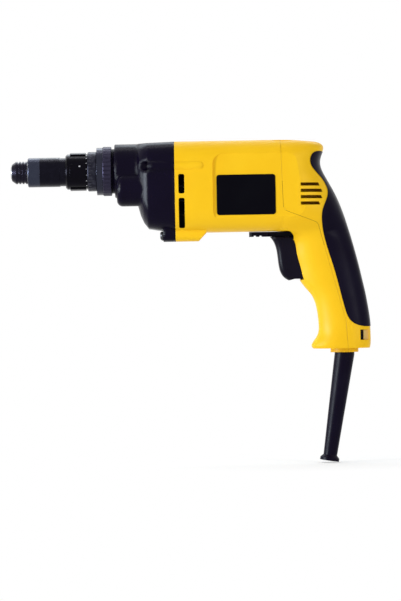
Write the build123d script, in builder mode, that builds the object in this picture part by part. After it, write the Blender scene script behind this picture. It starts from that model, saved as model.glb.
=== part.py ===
from build123d import *
import math
import os

# Corded screwdriver with a clutch nose, as separate pieces in their working places.
# X runs back from the mouth of the bit socket along the spindle axis, Z is up, -Y is the left side.

# Clearances
running = 0.04  # radial, a shaft turning or sliding in its bush
sliding = 0.15  # a piece guided by its neighbour
free = 0.4  # moving pieces that pass each other
seam = 0.3  # the line where two mouldings meet

# Bit holder and release sleeve
hex_across = 6.4
socket_depth = 20.0
holder_radius = 6.9
holder_length = 27.0
holder_bevel = 1.7
holder_collar_radius = 8.4
holder_collar_length = 2.0
shank_radius = 4.0
shank_length = 12.0
ball_radius = 1.85
ball_station = 6.0
tip_front = 0.9
tip_length = 13.5
tip_radius = 9.8
tip_bevel_length = 3.6
tip_bevel = 2.6
tip_groove_count = 3
tip_groove_pitch = 2.8
tip_groove_width = 1.3
tip_groove_depth = 0.8
sleeve_spring_pocket_radius = 8.8
sleeve_spring_pocket_length = 7.0
sleeve_wire = 0.8
sleeve_spring_turns = 3
press_travel = 3.0

# Steel nose, from front to back
nose_gap = 0.5
cap_length = 10.5
cap_bevel = 0.8
cap_end_wall = 2.0
nose_radius = 12.8
sleeve_length = 17.6
sleeve_neck_length = 5.0
sleeve_neck_radius = 12.3
collar_length = 19.3
collar_radius = 15.4
collar_flat_radius = 16.6
collar_flat_width = 13.0
collar_bevel = 1.4
collar_flat_count = 4
collar_flat_setback = 4.0
scale_length = 7.9
scale_radius = 17.2
flange_length = 5.2
flange_radius = 20.7
pilot_length = 8.5
pilot_radius = 14.9
nose_bore_radius = 10.9
bush_length = 17.0
bush_wall = 3.0
lock_length = 7.9
lock_radius = 21.5
ring_bevel = 0.6
spigot_radius = 18.5
lock_tooth_count = 36
lock_tooth_depth = 0.5
nut_length = 5.0
nut_setback = 4.0
nut_lug_width = 5.0
nut_lug_radius = 13.4
nut_travel = 1.5
case_neck_length = 2.6

# Spindle and its clutch
spindle_radius = 7.0
spindle_overrun = 0.5
spindle_tail_radius = 4.5
clutch_plate_radius = 14.2
clutch_plate_length = 6.0
jaw_count = 3
jaw_angle = 44.0
jaw_height = 3.4
jaw_inner_radius = 8.5
jaw_gap = 0.6
clutch_wire = 1.8
clutch_spring_turns = 6
clutch_gap = 1.0
wire_sides = 6  # every spring is wound from hexagon wire

# Gear train: motor pinion to layshaft gear, layshaft pinion to drive gear
motor_drop = 14.6
pressure_angle = 20.0
addendum = 0.9
dedendum = 1.25
backlash = 0.12
first_module = 0.8
motor_pinion_teeth = 9
layshaft_gear_teeth = 31
first_shift = 0.4
second_module = 1.0
layshaft_pinion_teeth = 10
drive_gear_teeth = 36
second_shift = 0.4
drive_gear_width = 11.0
first_gear_width = 6.5
stage_gap = 5.7
pinion_overlap = 0.5
drive_hub_radius = 6.5
layshaft_radius = 4.0
layshaft_bearing_radius = 6.0
layshaft_bearing_length = 7.0
drive_bush_radius = 8.5

# Gear case
case_radius = 23.4
spindle_housing_length = 20.0
bevel_length = 9.0
skirt_length = 23.3
# Sections of the flare: (behind its front, width, top, bottom, corner radius)
flare_sections = (
    (0.0, 50.0, 23.4, -31.5, 22.0),
    (2.2, 57.0, 23.5, -39.5, 21.5),
    (5.1, 62.5, 23.6, -46.0, 21.0),
    (9.0, 67.0, 23.7, -51.0, 20.0),
)
case_neck_radius = 19.4
chamber_radius = 20.0
pinion_room_radius = 8.2
first_gear_room_radius = 13.9
pinion_hole_radius = 5.2
dome_wall = 2.5
plate_boss_wall = 1.0
dome_radius = 14.7
dome_round = 5.0
plate_length = 11.0
plate_width = 56.6
plate_height = 66.0
plate_corner = 17.0
plate_gap = 1.5

# Motor body
body_width = 70.0
body_top = 24.4
body_bottom = -54.7
body_corner = 20.0
wall = 3.0
can_length = 92.7
panel_depth = 1.8
panel_start = 33.0
panel_top = 12.5
panel_bottom = -46.0
panel_corner = 9.0
panel_length = 86.0
side_screw_height = 2.7
side_screw_spread = 31.8
boss_radius = 4.8
screw_recess = 2.5
side_boss_length = 26.5
bottom_screw_spread = 18.0
bottom_screw_height = -57.4
bottom_boss_length = 27.0
bottom_boss_slope = 7.0
bottom_lug_length = 10.8
screw_radius = 2.0
screw_head_radius = 3.6
screw_head_length = 2.6
screw_grip = 16.0
front_vent_start = 3.2
front_vent_length = 5.2
front_vent_spans = ((-21.4, -4.5), (-51.2, -25.2))
front_vent_corner = 1.5
plate_start = 36.2
nameplate_length = 51.0
nameplate_height = 34.8
nameplate_middle = -23.3
nameplate_corner = 2.4
nameplate_thickness = 1.0
nameplate_recess = 0.6

# Motor
fan_start = 1.5
fan_length = 10.2
fan_radius = 25.5
fan_hub_radius = 8.0
fan_blade_count = 12
fan_blade_thickness = 1.4
fan_plate_thickness = 1.6
tongue_thickness = 3.0
tongue_spread = 8.5
tongue_rise = 0.8
stack_start = 20.7
stack_length = 42.0
stator_radius = 28.5
stator_yoke = 4.3
air_gap = 0.6
pole_half_angle = 50.0
coil_angle_room = 1.5
coil_half_angle = 76.0
coil_overhang = 6.0
coil_inner_radius = 18.6
armature_radius = 16.6
armature_slot_count = 12
armature_slot_width = 3.2
armature_slot_depth = 6.5
winding_overhang = 5.5
winding_depth = 1.1
winding_round = 2.0
winding_bar_depth = 5.0
shaft_radius = 4.0
journal_radius = 3.5
pinion_bore_radius = 1.8
commutator_gap = 1.5
commutator_length = 11.5
commutator_radius = 11.0
commutator_bar_count = 24
front_bearing_radius = 9.5
front_bearing_length = 6.0
bearing_lip = 1.0
rear_bearing_setback = 0.8
rear_bearing_radius = 9.5
rear_bearing_length = 6.0
bearing_boss_wall = 3.0
web_thickness = 4.0
web_setback = 1.7
stator_rib_length = 4.0
stator_rib_setback = 3.0
air_hole_radius = 9.0
air_hole_spread = 24.0
air_hole_rise = 27.0
web_hole_spread = 15.0
web_hole_rise = 21.0
commutator_neck_radius = 7.0
commutator_slot_width = 0.5
commutator_slot_depth = 1.0
brush_width = 8.0
brush_height = 5.0
brush_length = 12.0
brush_gap = 0.3
brush_holder_wall = 1.2
brush_holder_inner = 12.5
brush_holder_outer = 30.0
brush_spring_radius = 1.7
brush_wire = 0.6
brush_spring_turns = 5
brush_arm_inner = 14.0
brush_arm_outer = 28.0
brush_arm_width = 12.0

# Tail and handle as level sections: (height, front, widest place, back, width)
# The distances run back from the joint plane. Where the width is None, the tail continues the can.
handle_sections = (
    (24.2, 72.0, 92.7, 104.0, None),
    (23.3, 72.0, 92.7, 116.5, None),
    (22.3, 72.0, 92.7, 125.0, None),
    (20.5, 72.0, 92.7, 128.8, None),
    (17.0, 72.0, 92.7, 130.2, None),
    (11.0, 72.0, 92.7, 128.2, None),
    (4.0, 72.0, 92.7, 126.9, None),
    (-8.0, 72.0, 92.7, 131.3, None),
    (-22.0, 72.0, 92.7, 138.9, None),
    (-34.0, 74.0, 92.7, 144.1, None),
    (-46.0, 78.0, 92.7, 148.3, None),
    (-53.0, 83.0, 100.0, 150.4, 50.4),
    (-60.0, 98.5, 121.5, 152.5, 42.0),
    (-74.0, 102.4, 128.0, 156.3, 37.5),
    (-89.0, 105.6, 132.4, 160.0, 35.5),
    (-98.0, 107.8, 135.0, 162.0, 35.1),
    (-111.0, 117.6, 139.4, 164.8, 35.0),
    (-124.0, 122.2, 143.5, 167.0, 35.2),
    (-137.0, 123.6, 145.8, 168.6, 36.2),
    (-147.0, 122.0, 145.0, 168.9, 38.0),
    (-153.0, 117.9, 143.0, 168.9, 39.0),
    (-158.0, 118.6, 143.0, 168.0, 38.0),
)
hollow_sections = handle_sections[3:-1]
section_fullness = 2.4
tail_inset = 0.15
section_points = 16
handle_wall = 4.8
grip_skin = 2.4
grip_proud = 0.4

# Seam between the two mouldings and edge of the rubber grip, side view: (behind the joint, height)
parting_line = ((91.8, 30.0), (93.8, -36.9), (123.6, -48.3), (146.7, -133.0), (149.2, -170.0))
parting_round = 6.0
parting_gap = 0.12
grip_edge = (
    (150.0, 14.2),
    (130.0, 13.8),
    (120.3, 12.0),
    (117.9, 5.0),
    (125.4, -6.8),
    (132.9, -22.5),
    (128.0, -37.0),
    (127.3, -48.0),
    (137.3, -88.0),
    (146.1, -122.6),
    (151.3, -134.0),
    (160.7, -138.6),
    (178.0, -135.6),
)

# Trigger, switch and reversing lever
trigger_width = 20.0
trigger_front_curve = ((82.4, -59.8), (86.7, -66.9), (89.1, -80.9), (92.2, -93.0), (98.4, -98.1))
trigger_foot = (103.5, -96.8)
trigger_rear = 113.4
trigger_pocket_depth = 6.0
trigger_round = 5.0
window_front = 80.0
window_top = -55.0
window_bottom = -97.6
throat_front = 60.0
throat_rear = 102.8
throat_top = -54.9
throat_bottom = -62.0
throat_round = 6.0
switch_front = 118.8
switch_round = 1.5
switch_length = 24.0
switch_width = 20.0
switch_top = -64.0
switch_bottom = -93.0
ledge_thickness = 3.0
ledge_lip = 2.0
plunger_radius = 3.0
plunger_rear = 125.8
plunger_hole_depth = 13.0
plunger_height = -79.0
trigger_wire = 0.9
trigger_spring_radius = 4.4
trigger_spring_turns = 4
lever_front = 64.1
lever_pivot = 125.8
lever_top = -55.3
lever_thickness = 4.2
lever_width = 7.0
lever_pad_width = 10.0
lever_pad_length = 18.0
lever_groove_count = 2
lever_groove_pitch = 5.0
lever_groove_radius = 1.1
lever_hub_radius = 6.0
lever_pin_radius = 2.5

# Rear air slots in the cover
slot_front = 109.0
slot_lengths = (16.6, 19.0, 18.8, 16.8)
slot_top = -15.0
slot_pitch = 5.5
slot_height = 2.8
slot_slant = 1.2
slot_rib_thickness = 3.0
slot_rib_bottom = -36.0
slot_rib_top = -7.0

# Handle screw, cord clamp and bend protector
handle_screw_height = -111.5
handle_screw_seat = 123.8
handle_screw_length = 28.0
handle_boss_radius = 5.2
handle_boss_rear = 168.0
cover_boss_front = 141.4
heel_pocket_front = 159.3
heel_pocket_rear = 167.8
heel_slot_length = 2.8
heel_slot_half_width = 11.6
heel_pocket_floor = (12.8, 8.6)  # half widths, front and rear
heel_pocket_bottom = -151.0
heel_pocket_height = 9.0
clamp_height = -131.0
clamp_spread = 7.2
clamp_boss_radius = 2.7
clamp_screw_radius = 1.4
clamp_screw_head_radius = 2.6
clamp_screw_head_length = 1.8
clamp_screw_length = 14.0
clamp_round = 2.0
clamp_thickness = 4.5
clamp_length = 21.0
clamp_width = 10.0
cord_radius = 4.4
collar_ring_radius = 12.2
collar_ring_bottom = -161.5
boot_x = 145.8
boot_flange_radius = 11.0
boot_flange_length = 3.0
boot_radius = 8.65
boot_straight = 1.5
boot_end_radius = 6.0
boot_tilt = 9.0
boot_length = 94.3
boot_flare_radius = 8.4
boot_flare_length = 5.0

# Stations along the spindle axis, worked out from the lengths above
tip_rear = tip_front + tip_length
cap_front = tip_rear + nose_gap
sleeve_front = cap_front + cap_length
collar_front = sleeve_front + sleeve_length + sleeve_neck_length
scale_front = collar_front + collar_length
flange_front = scale_front + scale_length
lock_front = flange_front + flange_length
lock_rear = lock_front + lock_length
case_front = lock_rear + case_neck_length
bevel_front = case_front + spindle_housing_length
bevel_rear = bevel_front + bevel_length
joint = bevel_rear + skirt_length
joint_rear = joint + can_length
nut_front = collar_front + nut_setback
nut_rear = nut_front + nut_length
nut_room = nut_travel + free
pilot_rear = lock_front + pilot_length
clutch_front = pilot_rear + clutch_gap
clutch_rear = clutch_front + clutch_plate_length
jaw_tip = clutch_rear + jaw_height
drive_jaw_tip = jaw_tip + jaw_gap
drive_front = jaw_tip + press_travel + free
drive_rear = drive_front + drive_gear_width
first_front = drive_rear + stage_gap
first_rear = first_front + first_gear_width
plate_front = first_rear + plate_gap
plate_rear = plate_front + plate_length
front_bearing_front = plate_rear - bearing_lip - front_bearing_length
drive_bush_rear = front_bearing_front - bearing_lip
stack_front = joint + stack_start
stack_rear = stack_front + stack_length
commutator_front = stack_rear + winding_overhang + commutator_gap
commutator_rear = commutator_front + commutator_length
web_rear = joint_rear - web_setback
web_front = web_rear - web_thickness
rear_bearing_rear = web_rear - rear_bearing_setback
rear_bearing_front = rear_bearing_rear - rear_bearing_length
body_middle = (body_top + body_bottom) / 2
cavity_inset = wall + panel_depth
panel_half_width = body_width / 2 - panel_depth

# Gear centres in the YZ plane: the layshaft stands at both centre distances
first_distance = first_module * (motor_pinion_teeth + layshaft_gear_teeth) / 2
second_distance = second_module * (layshaft_pinion_teeth + drive_gear_teeth) / 2
layshaft_z = -(second_distance**2 - first_distance**2 + motor_drop**2) / (2 * motor_drop)
layshaft_y = -math.sqrt(second_distance**2 - layshaft_z**2)
layshaft_place = Location((0, layshaft_y, layshaft_z))
motor_place = Location((0, 0, -motor_drop))

os.makedirs("parts", exist_ok=True)


def motor_plane(station):
    """The section plane square to the motor's axis at a station."""
    return Plane(origin=(station, 0, -motor_drop), x_dir=(0, 1, 0), z_dir=(1, 0, 0))


def turned(*outline):
    """A solid turned about the X axis from (station, radius) corners."""
    with BuildPart() as form:
        with BuildSketch(Plane.XZ):
            with BuildLine():
                Polyline(*outline, close=True)
            make_face()
        revolve(axis=Axis.X)
    return form.part


def tube(front, rear, inner, outer):
    """A plain ring about the X axis."""
    return turned((front, inner), (front, outer), (rear, outer), (rear, inner))


def bar(front, rear, radius):
    """A plain round bar about the X axis."""
    return turned((front, 0), (front, radius), (rear, radius), (rear, 0))


def domed_bar(front, rear, radius, rounding):
    """A round bar about the X axis with its front edge rounded."""
    with BuildPart() as form:
        add(bar(front, rear, radius))
        fillet(form.edges().filter_by(GeomType.CIRCLE).sort_by(Axis.X)[0], rounding)
    return form.part


def block(low, high):
    """A box between two corners."""
    with BuildPart() as form:
        with Locations(((low[0] + high[0]) / 2, (low[1] + high[1]) / 2, (low[2] + high[2]) / 2)):
            Box(high[0] - low[0], high[1] - low[1], high[2] - low[2])
    return form.part


def side_form(outline, half_width):
    """A side view in (X, Z), carried half_width to either side of the middle plane."""
    with BuildPart() as form:
        with BuildSketch(Plane.XZ):
            with BuildLine():
                Polyline(*outline, close=True)
            make_face()
        extrude(amount=half_width, both=True)
    return form.part


def side_region(line, rounding, far):
    """All that lies behind a line in the side view, back to the station far: corners rounded, or a spline."""
    with BuildPart() as form:
        with BuildSketch(Plane.XZ):
            with BuildLine():
                if rounding:
                    FilletPolyline(*line, radius=rounding)
                else:
                    Spline(*line)
                Polyline(line[-1], (far, line[-1][1]), (far, line[0][1]), line[0])
            make_face()
        extrude(amount=body_width, both=True)
    return form.part


def behind_joint(points, shift=0):
    """Side-view points given behind the joint plane, as stations."""
    return [(joint + back + shift, height) for back, height in points]


def can_form(inset, front, rear):
    """The motor can's rounded section, drawn in by inset, between two stations."""
    with BuildPart() as form:
        with BuildSketch(Plane.YZ.offset(front)):
            with Locations((0, body_middle)):
                RectangleRounded(
                    body_width - 2 * inset, body_top - body_bottom - 2 * inset, body_corner - inset
                )
        extrude(amount=rear - front)
    return form.part


def can_half_width(height):
    """Half the can's width at a height, round its corners too."""
    corner_top = body_top - body_corner
    corner_bottom = body_bottom + body_corner
    beyond = max(height - corner_top, corner_bottom - height, 0)
    return body_width / 2 - body_corner + math.sqrt(body_corner**2 - beyond**2)


def level_outline(front, widest, back, width):
    """Points of an egg-shaped level section, fuller than an ellipse."""
    points = []
    for step in range(section_points):
        angle = 2 * math.pi * step / section_points
        along = math.cos(angle)
        across = math.sin(angle)
        reach = back - widest if along > 0 else widest - front
        x = widest + reach * math.copysign(abs(along) ** (2 / section_fullness), along)
        y = width / 2 * math.copysign(abs(across) ** (2 / section_fullness), across)
        points.append((x, y))
    return points


def handle_form(inset, sections):
    """Tail and handle lofted through level sections, each drawn in by inset."""
    with BuildPart() as form:
        for height, front, widest, back, width in sections:
            full_width = width or 2 * (can_half_width(height) - tail_inset)
            with BuildSketch(Plane.XY.offset(height)):
                with BuildLine():
                    Spline(
                        *level_outline(
                            joint + front + inset,
                            joint + widest,
                            joint + back - inset,
                            full_width - 2 * inset,
                        ),
                        periodic=True,
                    )
                make_face()
        loft()
    return form.part


def gear_form(teeth, module, shift, turn, front, rear):
    """A spur gear on the X axis, with one tooth at the angle turn, each flank an arc on its involute."""
    pitch_radius = module * teeth / 2
    pressure = math.radians(pressure_angle)
    base_radius = pitch_radius * math.cos(pressure)
    tip_radius_here = pitch_radius + module * (addendum + shift)
    root_radius = pitch_radius - module * (dedendum - shift)
    half_tooth = (math.pi / 2 + 2 * shift * math.tan(pressure)) / teeth - backlash / (4 * pitch_radius)
    step = 2 * math.pi / teeth

    def half_angle(radius):
        slope = math.acos(min(1.0, base_radius / radius))
        return half_tooth + math.tan(pressure) - pressure - math.tan(slope) + slope

    def polar(radius, angle):
        return (radius * math.cos(angle), radius * math.sin(angle))

    middle_radius = (base_radius + tip_radius_here) / 2
    with BuildPart() as form:
        with BuildSketch(Plane.YZ.offset(front)):
            with BuildLine():
                for tooth in range(teeth):
                    centre = turn + tooth * step
                    foot = half_angle(base_radius)
                    waist = half_angle(middle_radius)
                    tip = half_angle(tip_radius_here)
                    Line(polar(root_radius, centre - foot), polar(base_radius, centre - foot))
                    ThreePointArc(
                        polar(base_radius, centre - foot),
                        polar(middle_radius, centre - waist),
                        polar(tip_radius_here, centre - tip),
                    )
                    ThreePointArc(
                        polar(tip_radius_here, centre - tip),
                        polar(tip_radius_here, centre),
                        polar(tip_radius_here, centre + tip),
                    )
                    ThreePointArc(
                        polar(tip_radius_here, centre + tip),
                        polar(middle_radius, centre + waist),
                        polar(base_radius, centre + foot),
                    )
                    Line(polar(base_radius, centre + foot), polar(root_radius, centre + foot))
                    ThreePointArc(
                        polar(root_radius, centre + foot),
                        polar(root_radius, centre + step / 2),
                        polar(root_radius, centre + step - foot),
                    )
            make_face()
        extrude(amount=rear - front)
    return form.part


def sector(front, rear, inner, outer, middle, half_angle):
    """A piece of a ring about the X axis, reaching half_angle degrees to either side of the angle middle."""
    with BuildPart() as form:
        with BuildSketch(Plane.YZ.offset(front)):
            with BuildLine():
                outside = CenterArc((0, 0), outer, middle - half_angle, 2 * half_angle)
                inside = CenterArc((0, 0), inner, middle - half_angle, 2 * half_angle)
                Line(outside @ 0, inside @ 0)
                Line(outside @ 1, inside @ 1)
            make_face()
        extrude(amount=rear - front)
    return form.part


def jaws(front, rear, turn):
    """Clutch jaws standing between two stations, the first centred at the angle turn in degrees."""
    with BuildPart() as form:
        for number in range(jaw_count):
            middle = turn + 360 * number / jaw_count
            add(sector(front, rear, jaw_inner_radius, clutch_plate_radius, middle, jaw_angle / 2))
    return form.part


def coil(front, rear, radius, wire, turns):
    """A wire spring about the X axis, between two stations."""
    length = rear - front - wire - 2 * sliding
    start = front + wire / 2 + sliding
    with BuildPart() as form:
        with BuildLine() as path:
            Helix(length / turns, length, radius, center=(start, 0, 0), direction=(1, 0, 0))
        with BuildSketch(Plane(origin=path.line @ 0, z_dir=path.line % 0)):
            RegularPolygon(wire / 2, wire_sides)
        sweep(path=path.line, is_frenet=True)
    return form.part


def screw(front, length, head_radius, radius, head_length):
    """A pan-head screw on the X axis: its head in front, its shank running back."""
    return turned(
        (front, 0),
        (front, head_radius * 0.7),
        (front + head_length * 0.4, head_radius),
        (front + head_length, head_radius),
        (front + head_length, radius),
        (front + head_length + length, radius),
        (front + head_length + length, 0),
    )


# Bit holder: a hexagon socket in front, a shank pressed into the spindle behind
holder_collar_front = tip_rear - holder_collar_length / 2
holder_collar_rear = holder_collar_front + holder_collar_length
with BuildPart() as bit_holder:
    add(
        turned(
            (0, 0),
            (0, holder_radius - holder_bevel),
            (holder_bevel, holder_radius),
            (holder_collar_front, holder_radius),
            (holder_collar_front, holder_collar_radius),
            (holder_collar_rear, holder_collar_radius),
            (holder_collar_rear, holder_radius),
            (holder_length, holder_radius),
            (holder_length, shank_radius),
            (holder_length + shank_length, shank_radius),
            (holder_length + shank_length, 0),
        )
    )
    with BuildSketch(Plane.YZ):
        RegularPolygon(hex_across / 2, 6, major_radius=False)
    extrude(amount=socket_depth, mode=Mode.SUBTRACT)
    with BuildSketch(Plane.XY):
        with Locations((ball_station, 0)):
            Circle(ball_radius + running)
    extrude(amount=holder_radius, mode=Mode.SUBTRACT)
bit_holder.part.label = "bit_holder"
export_step(bit_holder.part, "parts/bit_holder.step")

with BuildPart() as detent_ball:
    with Locations((ball_station, 0, holder_radius - ball_radius - running)):
        Sphere(ball_radius)
detent_ball.part.label = "detent_ball"
export_step(detent_ball.part, "parts/detent_ball.step")

# Release sleeve: a grooved ring that slides back along the bit holder
pocket_front = tip_rear - sleeve_spring_pocket_length
with BuildPart() as release_sleeve:
    add(
        turned(
            (tip_front, holder_radius + running),
            (tip_front, tip_radius - tip_bevel),
            (tip_front + tip_bevel_length, tip_radius),
            (tip_rear, tip_radius),
            (tip_rear, sleeve_spring_pocket_radius),
            (pocket_front, sleeve_spring_pocket_radius),
            (pocket_front, holder_radius + running),
        )
    )
    for number in range(tip_groove_count):
        groove = tip_rear - tip_groove_pitch * (number + 1)
        add(
            tube(groove, groove + tip_groove_width, tip_radius - tip_groove_depth, tip_radius + free),
            mode=Mode.SUBTRACT,
        )
release_sleeve.part.label = "release_sleeve"
export_step(release_sleeve.part, "parts/release_sleeve.step")

with BuildPart() as sleeve_spring:
    add(
        coil(
            pocket_front,
            holder_collar_front,
            (holder_radius + sleeve_spring_pocket_radius) / 2,
            sleeve_wire,
            sleeve_spring_turns,
        )
    )
sleeve_spring.part.label = "sleeve_spring"
export_step(sleeve_spring.part, "parts/sleeve_spring.step")

# Nose cap: the polished ring that the release sleeve retracts into
with BuildPart() as nose_cap:
    add(
        turned(
            (cap_front, tip_radius + free),
            (cap_front, nose_radius - cap_bevel),
            (cap_front + cap_bevel, nose_radius),
            (sleeve_front, nose_radius),
            (sleeve_front, holder_radius + free),
            (sleeve_front - cap_end_wall, holder_radius + free),
            (sleeve_front - cap_end_wall, tip_radius + free),
        )
    )
nose_cap.part.label = "nose_cap"
export_step(nose_cap.part, "parts/nose_cap.step")

# Nose sleeve: the fixed tube that carries the front bush, the collars and the mounting flange
bush_rear = sleeve_front + bush_length
with BuildPart() as nose_sleeve:
    add(
        turned(
            (sleeve_front, spindle_radius + bush_wall),
            (sleeve_front, nose_radius),
            (sleeve_front + sleeve_length, nose_radius),
            (sleeve_front + sleeve_length, sleeve_neck_radius),
            (flange_front, sleeve_neck_radius),
            (flange_front, flange_radius),
            (lock_front, flange_radius),
            (lock_front, pilot_radius),
            (pilot_rear, pilot_radius),
            (pilot_rear, nose_bore_radius),
            (bush_rear, nose_bore_radius),
            (bush_rear, spindle_radius + bush_wall),
        )
    )
    add(
        block(
            (nut_front - nut_room, -nose_radius, -nut_lug_width / 2 - sliding),
            (nut_rear + nut_room, nose_radius, nut_lug_width / 2 + sliding),
        ),
        mode=Mode.SUBTRACT,
    )
nose_sleeve.part.label = "nose_sleeve"
export_step(nose_sleeve.part, "parts/nose_sleeve.step")

with BuildPart() as spindle_front_bush:
    add(tube(sleeve_front, bush_rear, spindle_radius + running, spindle_radius + bush_wall))
spindle_front_bush.part.label = "spindle_front_bush"
export_step(spindle_front_bush.part, "parts/spindle_front_bush.step")

# Spring nut: its two lugs pass through the nose sleeve into the torque collar
with BuildPart() as spring_nut:
    add(bar(nut_front, nut_rear, nose_bore_radius - sliding))
    add(
        block(
            (nut_front, -nut_lug_radius, -nut_lug_width / 2),
            (nut_rear, nut_lug_radius, nut_lug_width / 2),
        )
    )
    add(bar(nut_front, nut_rear, spindle_radius + free), mode=Mode.SUBTRACT)
spring_nut.part.label = "spring_nut"
export_step(spring_nut.part, "parts/spring_nut.step")

# Torque collar: the marked sleeve, with raised grip flats, that turns on the nose sleeve
collar_rear = scale_front - sliding
with BuildPart() as torque_collar:
    add(
        turned(
            (collar_front, sleeve_neck_radius + running),
            (collar_front, collar_radius - collar_bevel),
            (collar_front + collar_bevel, collar_radius),
            (collar_rear, collar_radius),
            (collar_rear, sleeve_neck_radius + running),
            (nut_rear + nut_room, sleeve_neck_radius + running),
            (nut_rear + nut_room, nut_lug_radius + free),
            (nut_front - nut_room, nut_lug_radius + free),
            (nut_front - nut_room, sleeve_neck_radius + running),
        )
    )
    flat_front = collar_front + collar_flat_setback
    flat_rear = collar_rear - collar_bevel
    with BuildSketch(Plane.YZ.offset(flat_front)):
        with PolarLocations(collar_radius, collar_flat_count):
            Rectangle(2 * (collar_flat_radius - collar_radius), collar_flat_width)
        Circle(collar_flat_radius, mode=Mode.INTERSECT)
        Circle(collar_radius - free, mode=Mode.SUBTRACT)
    extrude(amount=flat_rear - flat_front)
torque_collar.part.label = "torque_collar"
export_step(torque_collar.part, "parts/torque_collar.step")

with BuildPart() as scale_ring:
    add(tube(scale_front, flange_front, sleeve_neck_radius, scale_radius))
    chamfer(scale_ring.edges().filter_by(GeomType.CIRCLE).sort_by(SortBy.RADIUS)[-2:], ring_bevel)
scale_ring.part.label = "scale_ring"
export_step(scale_ring.part, "parts/scale_ring.step")

# Lock ring: knurled, turns on the gear case's spigot to free the nose
with BuildPart() as lock_ring:
    add(tube(lock_front + sliding, lock_rear - sliding, spigot_radius + running, lock_radius))
    chamfer(lock_ring.edges().filter_by(GeomType.CIRCLE).sort_by(SortBy.RADIUS)[-2:], ring_bevel)
    with BuildSketch(Plane.YZ.offset(lock_front)):
        with PolarLocations(lock_radius, lock_tooth_count):
            Circle(lock_tooth_depth)
    extrude(amount=lock_length, mode=Mode.SUBTRACT)
lock_ring.part.label = "lock_ring"
export_step(lock_ring.part, "parts/lock_ring.step")

# Spindle and the clutch plate pressed on it
spindle_rear = first_rear + spindle_overrun
with BuildPart() as spindle:
    add(
        turned(
            (holder_length, shank_radius),
            (holder_length, spindle_radius),
            (clutch_rear, spindle_radius),
            (clutch_rear, spindle_tail_radius),
            (spindle_rear, spindle_tail_radius),
            (spindle_rear, 0),
            (holder_length + shank_length, 0),
            (holder_length + shank_length, shank_radius),
        )
    )
spindle.part.label = "spindle"
export_step(spindle.part, "parts/spindle.step")

with BuildPart() as clutch_plate:
    add(tube(clutch_front, clutch_rear, spindle_radius, clutch_plate_radius))
    add(jaws(clutch_rear, jaw_tip, 0))
clutch_plate.part.label = "clutch_plate"
export_step(clutch_plate.part, "parts/clutch_plate.step")

with BuildPart() as clutch_spring:
    add(
        coil(
            nut_rear,
            clutch_front,
            (spindle_radius + nose_bore_radius) / 2,
            clutch_wire,
            clutch_spring_turns,
        )
    )
clutch_spring.part.label = "clutch_spring"
export_step(clutch_spring.part, "parts/clutch_spring.step")

# Gears: one tooth of each driver points at the gear it drives, which has a gap there
to_layshaft = math.atan2(layshaft_z + motor_drop, layshaft_y)
to_spindle = math.atan2(-layshaft_z, -layshaft_y)
half_turn = math.pi
with BuildPart() as drive_gear:
    add(
        gear_form(
            drive_gear_teeth,
            second_module,
            -second_shift,
            to_spindle + half_turn + math.pi / drive_gear_teeth,
            drive_front,
            drive_rear,
        )
    )
    add(jaws(drive_jaw_tip, drive_front, 180 / jaw_count))
    add(bar(drive_rear, drive_bush_rear, drive_hub_radius))
    add(bar(drive_jaw_tip, drive_bush_rear, spindle_tail_radius + running), mode=Mode.SUBTRACT)
drive_gear.part.label = "drive_gear"
export_step(drive_gear.part, "parts/drive_gear.step")

with BuildPart() as spindle_rear_bush:
    add(tube(first_front, drive_bush_rear, drive_hub_radius + running, drive_bush_radius))
spindle_rear_bush.part.label = "spindle_rear_bush"
export_step(spindle_rear_bush.part, "parts/spindle_rear_bush.step")

# Layshaft, with its pinion cut on it, and the gear pressed on behind
pinion_front = drive_front - pinion_overlap
pinion_rear = drive_rear + pinion_overlap
layshaft_front = pinion_front - layshaft_bearing_length
with BuildPart() as layshaft:
    add(
        gear_form(
            layshaft_pinion_teeth, second_module, second_shift, to_spindle, pinion_front, pinion_rear
        ).moved(layshaft_place)
    )
    add(bar(layshaft_front, pinion_front, layshaft_radius).moved(layshaft_place))
    add(bar(pinion_rear, plate_front + layshaft_bearing_length, layshaft_radius).moved(layshaft_place))
layshaft.part.label = "layshaft"
export_step(layshaft.part, "parts/layshaft.step")

with BuildPart() as layshaft_gear:
    add(
        gear_form(
            layshaft_gear_teeth,
            first_module,
            -first_shift,
            to_layshaft + half_turn + math.pi / layshaft_gear_teeth,
            first_front,
            first_rear,
        ).moved(layshaft_place)
    )
    add(bar(first_front, first_rear, layshaft_radius).moved(layshaft_place), mode=Mode.SUBTRACT)
layshaft_gear.part.label = "layshaft_gear"
export_step(layshaft_gear.part, "parts/layshaft_gear.step")

with BuildPart() as layshaft_front_bearing:
    bush_bore = layshaft_radius + running
    bush = tube(layshaft_front, pinion_front - sliding, bush_bore, layshaft_bearing_radius)
    add(bush.moved(layshaft_place))
layshaft_front_bearing.part.label = "layshaft_front_bearing"
export_step(layshaft_front_bearing.part, "parts/layshaft_front_bearing.step")

with BuildPart() as layshaft_rear_bearing:
    add(
        tube(
            plate_front,
            plate_front + layshaft_bearing_length,
            layshaft_radius + running,
            layshaft_bearing_radius,
        ).moved(layshaft_place)
    )
layshaft_rear_bearing.part.label = "layshaft_rear_bearing"
export_step(layshaft_rear_bearing.part, "parts/layshaft_rear_bearing.step")

with BuildPart() as motor_pinion:
    add(
        gear_form(
            motor_pinion_teeth,
            first_module,
            first_shift,
            to_layshaft,
            first_front - pinion_overlap,
            first_rear + pinion_overlap,
        ).moved(motor_place)
    )
    add(
        bar(first_front - pinion_overlap, first_rear + pinion_overlap, pinion_bore_radius).moved(motor_place),
        mode=Mode.SUBTRACT,
    )
motor_pinion.part.label = "motor_pinion"
export_step(motor_pinion.part, "parts/motor_pinion.step")

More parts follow.
